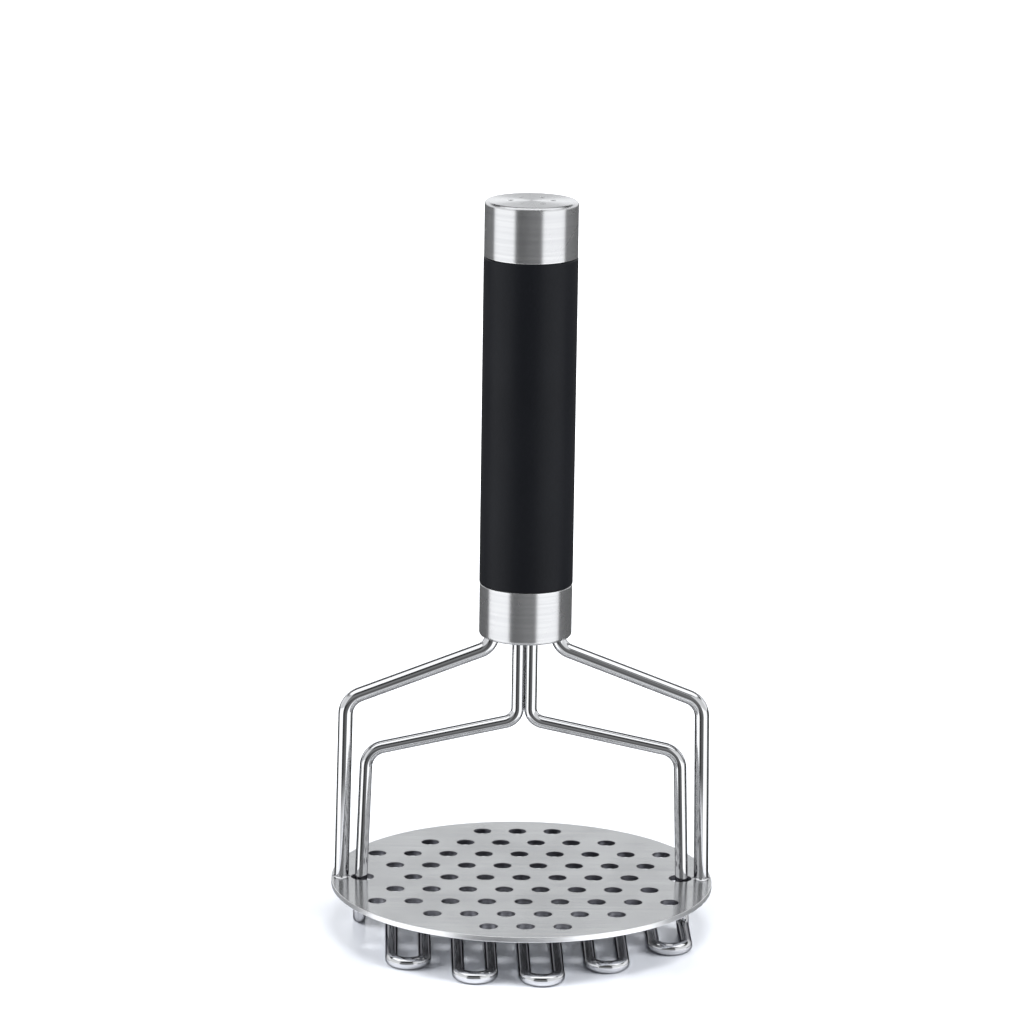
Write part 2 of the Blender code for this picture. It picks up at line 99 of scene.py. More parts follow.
class Graph:
    """A thin wrapper round a node tree that places nodes and links them."""

    def __init__(self, tree: bpy.types.NodeTree) -> None:
        """Keep the tree.

        Args:
            tree: The material's or the group's node tree.
        """
        self.tree = tree

    def node(self, kind: str, inputs: dict | None = None, **settings) -> bpy.types.Node:
        """Add a node.

        Args:
            kind: The node's type, without the leading "ShaderNode".
            inputs: Socket names or indices, each with a value or with the output that feeds it.
            **settings: Properties of the node.

        Returns:
            The new node.
        """
        node = self.tree.nodes.new(f"ShaderNode{kind}")
        for key, value in settings.items():
            setattr(node, key, value)
        for key, value in (inputs or {}).items():
            self.feed(node.inputs[key], value)
        return node

    def feed(self, socket: bpy.types.NodeSocket, value: object) -> None:
        """Set a socket, or link it.

        Args:
            socket: The input.
            value: A constant, or the output socket that feeds it.
        """
        if isinstance(value, bpy.types.NodeSocket):
            self.tree.links.new(value, socket)
        else:
            socket.default_value = value

    def mix(self, share: object, first: object, second: object) -> bpy.types.NodeSocket:
        """Mix two colours.

        Args:
            share: How much of the second.
            first: The colour at 0.
            second: The colour at 1.

        Returns:
            The mixed colour.
        """
        node = self.node("Mix", data_type="RGBA")
        self.feed(node.inputs[0], share)
        self.feed(node.inputs[6], first)
        self.feed(node.inputs[7], second)
        return node.outputs[2]

    def math(self, operation: str, first: object, second: object) -> bpy.types.NodeSocket:
        """Combine two numbers.

        Args:
            operation: The Math node's operation.
            first: The first number.
            second: The second number.

        Returns:
            The result.
        """
        return self.node("Math", {0: first, 1: second}, operation=operation).outputs[0]

    def ranged(self, value: object, bounds: tuple[float, float, object, object]) -> bpy.types.NodeSocket:
        """Map a number smoothly from one range to another.

        Args:
            value: The number.
            bounds: Its own low and high end, then the low and high end of the result.

        Returns:
            The mapped number.
        """
        inputs = dict(enumerate((value, *bounds)))
        return self.node("MapRange", inputs, interpolation_type="SMOOTHSTEP").outputs[0]


class Effects:
    """The surface effects that several finishes share, each a node group that is built once."""

    def __init__(self) -> None:
        """Build every group."""
        self.brushing = self._brushing()
        self.handling = self._handling()
        self.grain = self._grain()
        self.edge_wear_and_glint = self._edge_wear_and_glint()

    @staticmethod
    def _group(name: str, inputs: dict[str, str], outputs: list[str]) -> tuple[Graph, dict, dict]:
        """Start a group with its sockets.

        Args:
            name: The group's name.
            inputs: Each input's name and its kind, Vector or Float.
            outputs: The outputs' names.

        Returns:
            The group's graph, its input sockets by name and its output sockets by name.
        """
        tree = bpy.data.node_groups.new(name, "ShaderNodeTree")
        for label, kind in inputs.items():
            tree.interface.new_socket(name=label, in_out="INPUT", socket_type=f"NodeSocket{kind}")
        for label in outputs:
            tree.interface.new_socket(name=label, in_out="OUTPUT", socket_type="NodeSocketFloat")
        entry = tree.nodes.new("NodeGroupInput")
        leave = tree.nodes.new("NodeGroupOutput")
        return Graph(tree), dict(entry.outputs.items()), dict(leave.inputs.items())

    def _brushing(self) -> bpy.types.NodeTree:
        """Long fine scratches in one direction.

        Returns:
            A group that gives the scratches' height, and a slower change of tone that follows them.
        """
        graph, given, result = self._group(
            "fine_brushing", {"Position": "Vector", "Stretch": "Vector"}, ["Height", "Tone"]
        )
        drawn = graph.node("VectorMath", {0: given["Position"], 1: given["Stretch"]}, operation="MULTIPLY")
        place = drawn.outputs[0]
        fine = graph.node("TexNoise", {"Vector": place, "Scale": 1.0, "Detail": 5.0, "Roughness": 0.7})
        slow = graph.node("TexNoise", {"Vector": place, "Scale": 0.4, "Detail": 3.0})
        graph.feed(result["Height"], fine.outputs[0])
        graph.feed(result["Tone"], graph.ranged(slow.outputs[0], (0.3, 0.7, 0.0, 1.0)))
        return graph.tree

    def _handling(self) -> bpy.types.NodeTree:
        """Soft patches that hands and cloths leave.

        Returns:
            A group that gives a value between Low and High.
        """
        graph, given, result = self._group(
            "handling", {"Position": "Vector", "Scale": "Float", "Low": "Float", "High": "Float"}, ["Value"]
        )
        inputs = {"Vector": given["Position"], "Scale": given["Scale"], "Detail": 4.0, "Distortion": 0.6}
        patches = graph.node("TexNoise", inputs)
        graph.feed(result["Value"], graph.ranged(patches.outputs[0], (0.3, 0.7, given["Low"], given["High"])))
        return graph.tree

    def _grain(self) -> bpy.types.NodeTree:
        """The fine even grain of moulded or cast skin.

        Returns:
            A group that gives the grain's height.
        """
        inputs = {"Position": "Vector", "Scale": "Float"}
        graph, given, result = self._group("moulded_grain", inputs, ["Height"])
        cells = graph.node("TexVoronoi", {"Vector": given["Position"], "Scale": given["Scale"]})
        cloud = graph.node("TexNoise", {"Vector": given["Position"], "Scale": given["Scale"], "Detail": 3.0})
        graph.feed(result["Height"], graph.math("ADD", cells.outputs[0], cloud.outputs[0]))
        return graph.tree

    def _edge_wear_and_glint(self) -> bpy.types.NodeTree:
        """The rounded edges, found by the Bevel normal: the mask for their real polish and for a painted
        glint.

        Returns:
            A group that gives 1 on edges and 0 elsewhere.
        """
        graph, given, result = self._group("edge_wear_and_glint", {"Radius": "Float"}, ["Mask"])
        eased = graph.node("Bevel", {"Radius": given["Radius"]}, samples=4)
        true = graph.node("NewGeometry").outputs["Normal"]
        likeness = graph.node("VectorMath", {0: eased.outputs[0], 1: true}, operation="DOT_PRODUCT")
        mask = graph.math("SUBTRACT", 1.0, likeness.outputs["Value"])
        graph.feed(result["Mask"], graph.ranged(mask, (0.01, 0.22, 0.0, 1.0)))
        return graph.tree


class MaterialGraph(Graph):
    """A new material's graph, with its Principled shader."""

    def __init__(self, name: str) -> None:
        """Make the material.

        Args:
            name: The material's name.
        """
        self.material = bpy.data.materials.new(name)
        self.material.use_nodes = True
        super().__init__(self.material.node_tree)
        self.shader = self.tree.nodes["Principled BSDF"]
        self.coordinates = self.node("TexCoord")

    def place(self, group: bpy.types.NodeTree, inputs: dict) -> bpy.types.Node:
        """Add a shared effect with this material's own values.

        Args:
            group: One of the effects.
            inputs: Its values.

        Returns:
            The group's node.
        """
        node = self.tree.nodes.new("ShaderNodeGroup")
        node.node_tree = group
        for key, value in inputs.items():
            self.feed(node.inputs[key], value)
        return node

    def bump(self, height: object, distance: float, below: object = None) -> bpy.types.NodeSocket:
        """Turn a height into a normal.

        Args:
            height: The height, from 0 to 1.
            distance: What 1 stands for, in metres.
            below: The normal of a coarser relief under this one.

        Returns:
            The normal.
        """
        node = self.node("Bump", {"Height": height, "Distance": distance})
        if below is not None:
            self.feed(node.inputs["Normal"], below)
        return node.outputs[0]

    def set(self, **inputs: object) -> None:
        """Set or link the shader's sockets, named with underscores for spaces.

        Args:
            **inputs: A value or an output for each socket.
        """
        for key, value in inputs.items():
            self.feed(self.shader.inputs[key.replace("_", " ")], value)


# ---------------------------------------------------------------- finishes


@dataclass(frozen=True)
class BrushedSteel:
    """Stainless steel with a fine grain in one direction, smoother edges and a painted highlight on those
    edges.
    """

    name: str
    run: Run
    dark: Colour = (0.52, 0.52, 0.53)
    light: Colour = (0.66, 0.66, 0.67)
    smooth: float = 0.24
    rough: float = 0.33
    depth: float = 0.000010
    sheen: Sheen = Sheen.NONE
    stretch: float = 0.0
    # Lighter colour mixed in on rounded edges: a painted highlight.
    painted_edge_tone: Colour = (0.80, 0.80, 0.81)
    edge_radius: float = 0.0004
    edge_polish: float = 0.08
    patch_scale: float = 60.0

    def material(self, effects: Effects) -> bpy.types.Material:
        """Make the material.

        Args:
            effects: The shared effects.

        Returns:
            The material.
        """
        graph = MaterialGraph(self.name)
        place = graph.coordinates.outputs["Object"]
        lines = graph.place(effects.brushing, {"Position": place, "Stretch": self.run.value})
        marks = graph.place(
            effects.handling,
            {"Position": place, "Scale": self.patch_scale, "Low": self.smooth, "High": self.rough},
        )
        edges = graph.place(effects.edge_wear_and_glint, {"Radius": self.edge_radius})
        body = graph.mix(lines.outputs["Tone"], (*self.dark, 1.0), (*self.light, 1.0))
        # Painted highlight: rounded edges get the lighter edge colour; their lower roughness below is real
        # polish.
        colour = graph.mix(edges.outputs["Mask"], body, (*self.painted_edge_tone, 1.0))
        polish = graph.math("MULTIPLY", edges.outputs["Mask"], -self.edge_polish)
        roughness = graph.math("ADD", marks.outputs["Value"], polish)
        graph.set(Base_Color=colour, Metallic=1.0, Roughness=roughness)
        if self.sheen is not Sheen.NONE:
            way = graph.node("Tangent", direction_type=self.sheen.value, axis="Z")
            way.uv_map = "surface" if self.sheen is Sheen.FLAT else ""
            graph.set(Anisotropic=self.stretch, Anisotropic_Rotation=QUARTER_TURN, Tangent=way.outputs[0])
        graph.set(Normal=graph.bump(lines.outputs["Height"], self.depth))
        return graph.material


@dataclass(frozen=True)
class DrawnWire:
    """Bright wire: polished, with faint die marks along it, a slight waviness and a near-black edge tint that
    paints dark outlines.
    """

    name: str
    tint: Colour = (0.70, 0.70, 0.71)
    smooth: float = 0.05
    rough: float = 0.11
    mark_depth: float = 0.0000012
    wave_depth: float = 0.000008
    # Near-black tint of the grazing reflection: paints dark outlines along the wire.
    painted_edge_tone: Colour = (0.06, 0.06, 0.07)
    groove_tone: float = 0.82
    patch_scale: float = 90.0
    wave_scale: float = 130.0

    def material(self, effects: Effects) -> bpy.types.Material:
        """Make the material.

        Args:
            effects: The shared effects.

        Returns:
            The material.
        """
        graph = MaterialGraph(self.name)
        place = graph.coordinates.outputs["Object"]
        lines = graph.place(
            effects.brushing, {"Position": graph.coordinates.outputs["UV"], "Stretch": Run.LENGTHWISE.value}
        )
        marks = graph.place(
            effects.handling,
            {"Position": place, "Scale": self.patch_scale, "Low": self.smooth, "High": self.rough},
        )
        waves = graph.node("TexNoise", {"Vector": place, "Scale": self.wave_scale, "Detail": 2.0})
        groove = tuple(channel * self.groove_tone for channel in self.tint)
        face = graph.mix(lines.outputs["Tone"], (*groove, 1.0), (*self.tint, 1.0))
        coarse = graph.bump(waves.outputs[0], self.wave_depth)
        graph.set(Base_Color=face, Metallic=1.0, Roughness=marks.outputs["Value"])
        # The edge tint darkens grazing reflections: painted dark outlines.
        graph.set(Specular_Tint=(*self.painted_edge_tone, 1.0))
        graph.set(Normal=graph.bump(lines.outputs["Height"], self.mark_depth, coarse))
        return graph.material


@dataclass(frozen=True)
class Moulded:
    """Moulded rubber or plastic: an even skin with a fine grain, lighter random patches and lighter edges,
    which are partly wear and partly a painted glint.
    """

    name: str
    colour: Colour
    # Lighter colour of worn patches, and of the rounded edges, where it is partly a painted glint.
    wear_and_glint_tone: Colour
    smooth: float = 0.42
    rough: float = 0.52
    grain_scale: float = 5200.0
    grain_depth: float = 0.00001
    specular: float = 0.5
    edge_radius: float = 0.0003
    patch_scale: float = 45.0
    shade_scale: float = 28.0
    shade_share: float = 0.3

    def material(self, effects: Effects) -> bpy.types.Material:
        """Make the material.

        Args:
            effects: The shared effects.

        Returns:
            The material.
        """
        graph = MaterialGraph(self.name)
        place = graph.coordinates.outputs["Object"]
        marks = graph.place(
            effects.handling,
            {"Position": place, "Scale": self.patch_scale, "Low": self.smooth, "High": self.rough},
        )
        shade = graph.place(
            effects.handling,
            {"Position": place, "Scale": self.shade_scale, "Low": 0.0, "High": self.shade_share},
        )
        edges = graph.place(effects.edge_wear_and_glint, {"Radius": self.edge_radius})
        skin = graph.place(effects.grain, {"Position": place, "Scale": self.grain_scale})
        patch = graph.mix(shade.outputs["Value"], (*self.colour, 1.0), (*self.wear_and_glint_tone, 1.0))
        # Rounded edges get the lighter colour: partly wear, partly a painted glint.
        colour = graph.mix(edges.outputs["Mask"], patch, (*self.wear_and_glint_tone, 1.0))
        graph.set(Base_Color=colour, Roughness=marks.outputs["Value"], Specular_IOR_Level=self.specular)
        graph.set(Normal=graph.bump(skin.outputs["Height"], self.grain_depth))
        return graph.material


class Finishes:
    """Every finish of the tool, as a material ready to use."""

    def __init__(self) -> None:
        """Make the materials."""
        effects = Effects()
        self.disc = BrushedSteel(
            "disc_steel", Run.ACROSS, (0.60, 0.605, 0.615), (0.645, 0.65, 0.655), 0.22, 0.25, 0.0000010,
            Sheen.FLAT, 0.93,
        ).material(effects)
        self.disc_edge = BrushedSteel(
            "disc_edge_steel", Run.AROUND, (0.72, 0.72, 0.73), (0.84, 0.84, 0.85), 0.30, 0.38, 0.000002
        ).material(effects)
        # Hole walls and lips are a near-black copy of the disc steel: painted shade and a painted dark
        # reflection inside the holes.
        self.painted_hole_shade = BrushedSteel(
            "painted_hole_shade_steel", Run.AROUND, (0.10, 0.10, 0.115), (0.22, 0.22, 0.235), 0.35, 0.5, 0.000012,
            painted_edge_tone=(0.16, 0.16, 0.18),
        ).material(effects)
        # The cups' near-white edge colour paints a bright highlight along their rounded rims.
        self.cup = BrushedSteel(
            "cup_steel", Run.AROUND, (0.55, 0.55, 0.56), (0.61, 0.61, 0.615), 0.26, 0.28, 0.0000025,
            Sheen.TURNED, 0.9, painted_edge_tone=(0.95, 0.95, 0.95), edge_radius=0.0007,
        ).material(effects)
        self.wire = DrawnWire("wire_steel").material(effects)
        self.grip = Moulded(
            "grip_rubber", (0.0038, 0.0042, 0.0056), (0.0078, 0.0085, 0.0108), 0.38, 0.46, specular=0.12
        ).material(effects)
        self.tube = BrushedSteel("tube_steel", Run.AROUND, smooth=0.3, rough=0.4).material(effects)
        self.spring = DrawnWire("spring_steel", (0.50, 0.50, 0.52), 0.18, 0.28).material(effects)
        self.screw = BrushedSteel(
            "screw_steel", Run.AROUND, (0.30, 0.30, 0.31), (0.42, 0.42, 0.43)
        ).material(effects)
        self.aluminium = BrushedSteel(
            "plug_aluminium", Run.AROUND, (0.66, 0.67, 0.68), (0.78, 0.79, 0.80), 0.28, 0.4
        ).material(effects)
        self.acetal = Moulded(
            "white_acetal", (0.72, 0.71, 0.67), (0.80, 0.79, 0.76), 0.36, 0.46
        ).material(effects)
        self.bumper = Moulded(
            "bumper_rubber", (0.012, 0.012, 0.013), (0.03, 0.03, 0.03), 0.55, 0.7
        ).material(effects)


# ---------------------------------------------------------------- shapes


def placed(name: str, data: bpy.types.ID) -> bpy.types.Object:
    """Make an object and add it to the scene.

    Args:
        name: The object's name.
        data: Its mesh, curve, light or camera.

    Returns:
        The new object.
    """
    thing = bpy.data.objects.new(name, data)
    bpy.context.scene.collection.objects.link(thing)
    return thing


def as_piece(
    name: str, shape: bmesh.types.BMesh, *materials: bpy.types.Material, crease: float = radians(32)
) -> bpy.types.Object:
    """Turn a shape into a smooth-shaded object.

    Args:
        name: The piece's name.
        shape: Its faces, which are used up.
        *materials: Its materials.
        crease: The angle between faces from which an edge is sharp.

    Returns:
        The new object.
    """
    bmesh.ops.remove_doubles(shape, verts=shape.verts, dist=SAME_PLACE)
    bmesh.ops.recalc_face_normals(shape, faces=shape.faces)
    mesh = bpy.data.meshes.new(name)
    shape.to_mesh(mesh)
    shape.free()
    mesh.shade_smooth()
    mesh.set_sharp_from_angle(angle=crease)
    for material in materials:
        mesh.materials.append(material)
    return placed(name, mesh)


def turned(profile: Profile, segments: int = 144) -> bmesh.types.BMesh:
    """Spin a closed profile round Z.

    Args:
        profile: Radius and height of each point.
        segments: How many steps the turn takes.

    Returns:
        The turned shape.
    """
    shape = bmesh.new()
    ring = [shape.verts.new((radius, 0.0, height)) for radius, height in profile]
    edges = [shape.edges.new((ring[i - 1], ring[i])) for i in range(len(ring))]
    bmesh.ops.spin(shape, geom=ring + edges, cent=(0, 0, 0), axis=(0, 0, 1), angle=2 * pi, steps=segments)
    bmesh.ops.remove_doubles(shape, verts=shape.verts, dist=SAME_PLACE)
    bmesh.ops.dissolve_degenerate(shape, dist=SAME_PLACE, edges=shape.edges)
    return shape


def rounded(profile: list[tuple[float, float, float]], steps: int = 12, hold: float = 0.00008) -> Profile:
    """Round the corners of a closed profile.

    Args:
        profile: Radius and height of each corner, and the radius it is rounded to.
        steps: How many steps a rounded corner takes.
        hold: How far from a rounding the flat beside it has a point of its own, which keeps its shading flat.

    Returns:
        The rounded profile.
    """
    points: Profile = []
    count = len(profile)
    for i, (x, y, radius) in enumerate(profile):
        corner = Vector((x, y, 0))
        if radius <= 0:
            points.append((x, y))
            continue
        before = Vector((*profile[i - 1][:2], 0))
        after = Vector((*profile[(i + 1) % count][:2], 0))
        arc = arc_at(before, (corner, radius), after, pi / 2 / steps)
        first = arc[0] + (before - corner).normalized() * hold
        last = arc[-1] + (after - corner).normalized() * hold
        points += [(p.x, p.y) for p in (first, *arc, last)]
    return points


def arc_at(before: Vector, corner: Corner, after: Vector, step: float) -> list[Vector]:
    """Round one corner of a route with an arc.

    Args:
        before: The corner before it.
        corner: The corner and the arc's radius.
        after: The corner after it.
        step: The most that the arc turns between two of its points.

    Returns:
        The arc's points.
    """
    place, radius = corner
    back, ahead = (before - place).normalized(), (after - place).normalized()
    half = acos(max(-1.0, min(1.0, back.dot(ahead)))) / 2
    if half > pi / 2 - 1e-4:
        return [place]
    centre = place + (back + ahead).normalized() * (radius / sin(half))
    start = place + back * (radius / tan(half)) - centre
    axis = back.cross(ahead).normalized()
    turn = -(pi - 2 * half)
    steps = max(2, ceil(abs(turn) / step))
    return [centre + Matrix.Rotation(turn * i / steps, 3, axis) @ start for i in range(steps + 1)]


def bent(corners: list[Corner], step: float = radians(5)) -> list[Vector]:
    """Join straight runs with arcs.

    Args:
        corners: The route's corners, each with its bend radius.
        step: The most that an arc turns between two points.

    Returns:
        The points of the centre line.
    """
    route = [corners[0][0]]
    for before, corner, after in zip(corners, corners[1:], corners[2:]):
        route += [p for p in arc_at(before[0], corner, after[0], step) if (p - route[-1]).length > 1e-6]
    return route + [corners[-1][0]]


def swept(route: list[Vector], radius: float, sides: int = 28, ease: float = 0.25) -> bmesh.types.BMesh:
    """Sweep a round wire along a route, with eased ends and surface coordinates in metres.

    Args:
        route: The centre line.
        radius: The wire's radius.
        sides: How many sides the wire has.
        ease: The rounding of the ends' edges, as a share of the radius.

    Returns:
        The wire.
    """
    shape = bmesh.new()
    layer = shape.loops.layers.uv.new("surface")
    ways = [(b - a).normalized() for a, b in zip(route, route[1:])]
    way = ways[0]
    across = way.orthogonal().normalized()
    rings: list[tuple[list[bmesh.types.BMVert], float]] = []
    length = 0.0
    cut = radius * ease
    for i, place in enumerate(route):
        ahead = ways[min(i, len(ways) - 1)]
        behind = ways[max(i - 1, 0)]
        tangent = (ahead + behind).normalized()
        across = (across - tangent * across.dot(tangent)).normalized()
        stretch = 1.0 / max(0.5, tangent.dot(ahead))
        length += (place - route[i - 1]).length if i else 0.0
        reach = [(0.0, radius)]
        if i == 0:
            reach = [(0.0, radius - cut), (cut * 0.3, radius - cut * 0.3), (cut, radius)]
        elif i == len(route) - 1:
            reach = [(-cut, radius), (-cut * 0.3, radius - cut * 0.3), (0.0, radius - cut)]
        other = tangent.cross(across)
        bulge = 1.0 if stretch < 1.0001 else stretch
        inward = ahead - behind
        bend = inward.normalized() if inward.length > 1e-6 else None
        for offset, size in reach:
            ring = []
            for k in range(sides):
                turn = 2 * pi * k / sides
                spoke = across * cos(turn) + other * sin(turn)
                if bend is not None:
                    spoke += bend * spoke.dot(bend) * (bulge - 1.0)
                ring.append(shape.verts.new(place + tangent * offset + spoke * size))
            rings.append((ring, length + offset))
    for (ring, start), (after, end) in zip(rings, rings[1:]):
        for k in range(sides):
            m = (k + 1) % sides
            face = shape.faces.new((ring[k], ring[m], after[m], after[k]))
            u0, u1 = 2 * pi * radius * k / sides, 2 * pi * radius * (k + 1) / sides
            for loop, uv in zip(face.loops, ((u0, start), (u1, start), (u1, end), (u0, end))):
                loop[layer].uv = uv
    shape.faces.new(rings[0][0][::-1])
    shape.faces.new(rings[-1][0])
    return shape


def obround(half_length: float, half_width: float, steps: int = 20) -> Profile:
    """Outline a slot with round ends, along X.

    Args:
        half_length: From its middle to an end.
        half_width: From its middle to a side.
        steps: How many steps each round end takes.

    Returns:
        The outline.
    """
    reach = half_length - half_width
    outline = []
    for side in (1, -1):
        for i in range(steps + 1):
            angle = pi * i / steps - side * pi / 2
            outline.append((side * reach + half_width * cos(angle), half_width * sin(angle)))
    return outline


def quarter(steps: int) -> list[float]:
    """Return the angles of a quarter turn, from 0."""
    return [pi / 2 * i / steps for i in range(steps + 1)]


def circle(radius: float, centre: Point = (0.0, 0.0), steps: int = 40) -> Profile:
    """Outline a circle.

    Args:
        radius: Its radius.
        centre: Its centre.
        steps: How many corners it has.

    Returns:
        The outline.
    """
    angles = [2 * pi * i / steps for i in range(steps)]
    return [(centre[0] + radius * cos(a), centre[1] + radius * sin(a)) for a in angles]


def flared_cutter(outline: Profile, low: float, high: float, flare: float) -> bpy.types.Object:
    """Make a cutter whose hole widens smoothly at the outer face, as a punched hole does.

    Args:
        outline: The hole.
        low: The height where the flare has ended.
        high: The height of the face that the hole opens in.
        flare: How much the hole widens there, on each side.

    Returns:
        The cutter.
    """
    shape = bmesh.new()
    middle = Vector((sum(x for x, _ in outline), sum(y for _, y in outline), 0)) / len(outline)
    up = 1.0 if high > low else -1.0
    levels = [(low - up * CUT_INSIDE, 0.0)]
    for turn in quarter(5):
        levels.append((high - up * flare * (1 - sin(turn)), flare * (1 - cos(turn))))
    levels.append((high + up * CUT_PAST, flare))
    rings = []
    for height, widen in levels:
        ring = []
        for x, y in outline:
            spoke = Vector((x, y, 0)) - middle
            place = middle + spoke * (1 + widen / spoke.length)
            ring.append(shape.verts.new((place.x, place.y, height)))
        rings.append(ring)
    count = len(outline)
    for lower, upper in zip(rings, rings[1:]):
        for k in range(count):
            shape.faces.new((lower[k], lower[(k + 1) % count], upper[(k + 1) % count], upper[k]))
    shape.faces.new(rings[0][::-1])
    shape.faces.new(rings[-1])
    return as_piece("cutter", shape)


def carved(piece: bpy.types.Object, cutters: list[bpy.types.Object]) -> bpy.types.Object:
    """Cut holes in a piece, for good, and throw the cutters away.

    Args:
        piece: The piece.
        cutters: What is cut out of it.

    Returns:
        The piece.
    """
    for cutter in cutters:
        modifier = piece.modifiers.new("hole", "BOOLEAN")
        modifier.operation = "DIFFERENCE"
        modifier.solver = "EXACT"
        modifier.object = cutter
    bpy.context.view_layer.update()
    graph = bpy.context.evaluated_depsgraph_get()
    mesh = bpy.data.meshes.new_from_object(piece.evaluated_get(graph))
    piece.modifiers.clear()
    piece.data = mesh
    mesh.set_sharp_from_angle(angle=radians(8.5))
    for cutter in cutters:
        bpy.data.objects.remove(cutter, do_unlink=True)
    return piece


def fit(piece: bpy.types.Object, body: Body, slot: str, *nodes: str) -> None:
    """Put a piece on its body in place of its plain solids.

    Args:
        piece: The piece.
        body: What it rides on.
        slot: The record's material slot. Not used.
        *nodes: The solids that it stands for.
    """
    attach(piece, body.value)
    if nodes:
        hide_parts(*nodes)
    LOG.info("%s: %d faces on %s", piece.name, len(piece.data.polygons), body.value)


# ---------------------------------------------------------------- sub-assemblies


class Assembly(ABC):
    """A part of the tool that is made in one go."""

    @abstractmethod
    def build(self, finishes: Finishes) -> None:
        """Make the pieces and put them on their bodies.

        Args:
            finishes: The materials.
        """


@dataclass
class PunchedDisc(Assembly):
    """The round plate: staggered rows of punched holes, two leg holes and a rounded rim."""

    hole_radius: float = 0.00242
    hole_pitch: float = 0.0100
    row_pitch: float = 0.0108
    field_radius: float = 0.0456
    leg_x: float = 0.0441
    leg_hole_radius: float = 0.0031
    land: float = 0.0012
    lip: float = 0.00018
    under_lip: float = 0.00006
    rim_lip: float = 0.00016
    rim_steps: int = 256
    hole_steps: int = 40

    def centres(self) -> Profile:
        """Place the holes.

        Returns:
            The centre of each hole.
        """
        found = []
        rows = int(self.field_radius / self.row_pitch)
        keep_off = self.leg_hole_radius + self.hole_radius + self.land
        for row in range(-rows, rows + 1):
            shift = self.hole_pitch / 2 if row % 2 else 0.0
            for column in range(-6, 7):
                x, y = column * self.hole_pitch + shift, row * self.row_pitch
                if hypot(x, y) < self.field_radius and hypot(abs(x) - self.leg_x, y) > keep_off:
                    found.append((x, y))
        return found

    def face(self, height: float, outlines: list[Profile]) -> bpy.types.Mesh:
        """Fill a flat face with holes in it.

        Args:
            height: The face's height.
            outlines: The rim and the holes.

        Returns:
            The filled face.
        """
        curve = bpy.data.curves.new("draft", "CURVE")
        curve.dimensions = "2D"
        curve.fill_mode = "BOTH"
        for outline in outlines:
            spline = curve.splines.new("POLY")
            spline.points.add(len(outline) - 1)
            spline.use_cyclic_u = True
            for point, (x, y) in zip(spline.points, outline):
                point.co = (x, y, 0.0, 1.0)
        draft = placed("draft", curve)
        bpy.context.view_layer.update()
        mesh = bpy.data.meshes.new_from_object(draft.evaluated_get(bpy.context.evaluated_depsgraph_get()))
        bpy.data.objects.remove(draft, do_unlink=True)
        mesh.transform(Matrix.Translation((0, 0, height)))
        mesh.materials.clear()
        return mesh

    @staticmethod
    def edge(low: float, high: float, lips: tuple[float, float]) -> Profile:
        """Draw a sheared edge: how far it stands back from its face, at each height.

        Args:
            low: The lower face.
            high: The upper face.
            lips: The rounding at the lower and the upper face.

        Returns:
            The offset and the height of each point, from the upper face down.
        """
        under, over = lips
        upper = [(over * (1 - sin(a)), high - over * (1 - cos(a))) for a in quarter(4)]
        lower = [(under * (1 - cos(a)), low + under * (1 - sin(a))) for a in quarter(4)]
        return upper + lower

    def wall(self, shape: bmesh.types.BMesh, centre: Point, radius: float, profile: Profile) -> None:
        """Add the wall of a hole or the rim.

        Args:
            shape: What it is added to.
            centre: The hole's centre.
            radius: The hole's radius, or the rim's as a negative number.
            profile: The edge's offsets and heights.
        """
        steps = self.rim_steps if radius < 0 else self.hole_steps
        sign = 1 if radius > 0 else -1
        rings = []
        for offset, height in profile:
            ring = circle(abs(radius) + sign * offset, centre, steps)
            rings.append([shape.verts.new((x, y, height)) for x, y in ring])
        for upper, lower in zip(rings, rings[1:]):
            for k in range(steps):
                face = shape.faces.new((upper[k], upper[(k + 1) % steps], lower[(k + 1) % steps], lower[k]))
                # Hole walls and their lips take the darkened copy of the steel, which paints shade into the
                # holes; the rim takes the edge steel.
                face.material_index = 2 if radius > 0 else 1

    def build(self, finishes: Finishes) -> None:
        """Make the disc.

        Args:
            finishes: The materials.
        """
        low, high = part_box("perforated_disc")
        rim = min(high.x, high.y)
        holes = [(centre, self.hole_radius) for centre in self.centres()]
        holes += [((side * self.leg_x, 0.0), self.leg_hole_radius) for side in (-1, 1)]
        shape = bmesh.new()
        for height, lip in ((high.z, self.lip), (low.z, self.under_lip)):
            outlines = [circle(rim - self.rim_lip, steps=self.rim_steps)]
            outlines += [circle(radius + lip, centre, self.hole_steps) for centre, radius in holes]
            face = self.face(height, outlines)
            shape.from_mesh(face)
            bpy.data.meshes.remove(face)
        self.wall(shape, (0.0, 0.0), -rim, self.edge(low.z, high.z, (self.rim_lip, self.rim_lip)))
        for centre, radius in holes:
            self.wall(shape, centre, radius, self.edge(low.z, high.z, (self.under_lip, self.lip)))
        bmesh.ops.remove_doubles(shape, verts=shape.verts, dist=2e-6)
        layer = shape.loops.layers.uv.new("surface")
        for face in shape.faces:
            for loop in face.loops:
                loop[layer].uv = (loop.vert.co.x, loop.vert.co.y)
        coats = (finishes.disc, finishes.disc_edge, finishes.painted_hole_shade)
        disc = as_piece("punched_disc", shape, *coats, crease=radians(8))
        fit(disc, Body.HANDLE, "brushed_steel", "perforated_disc")


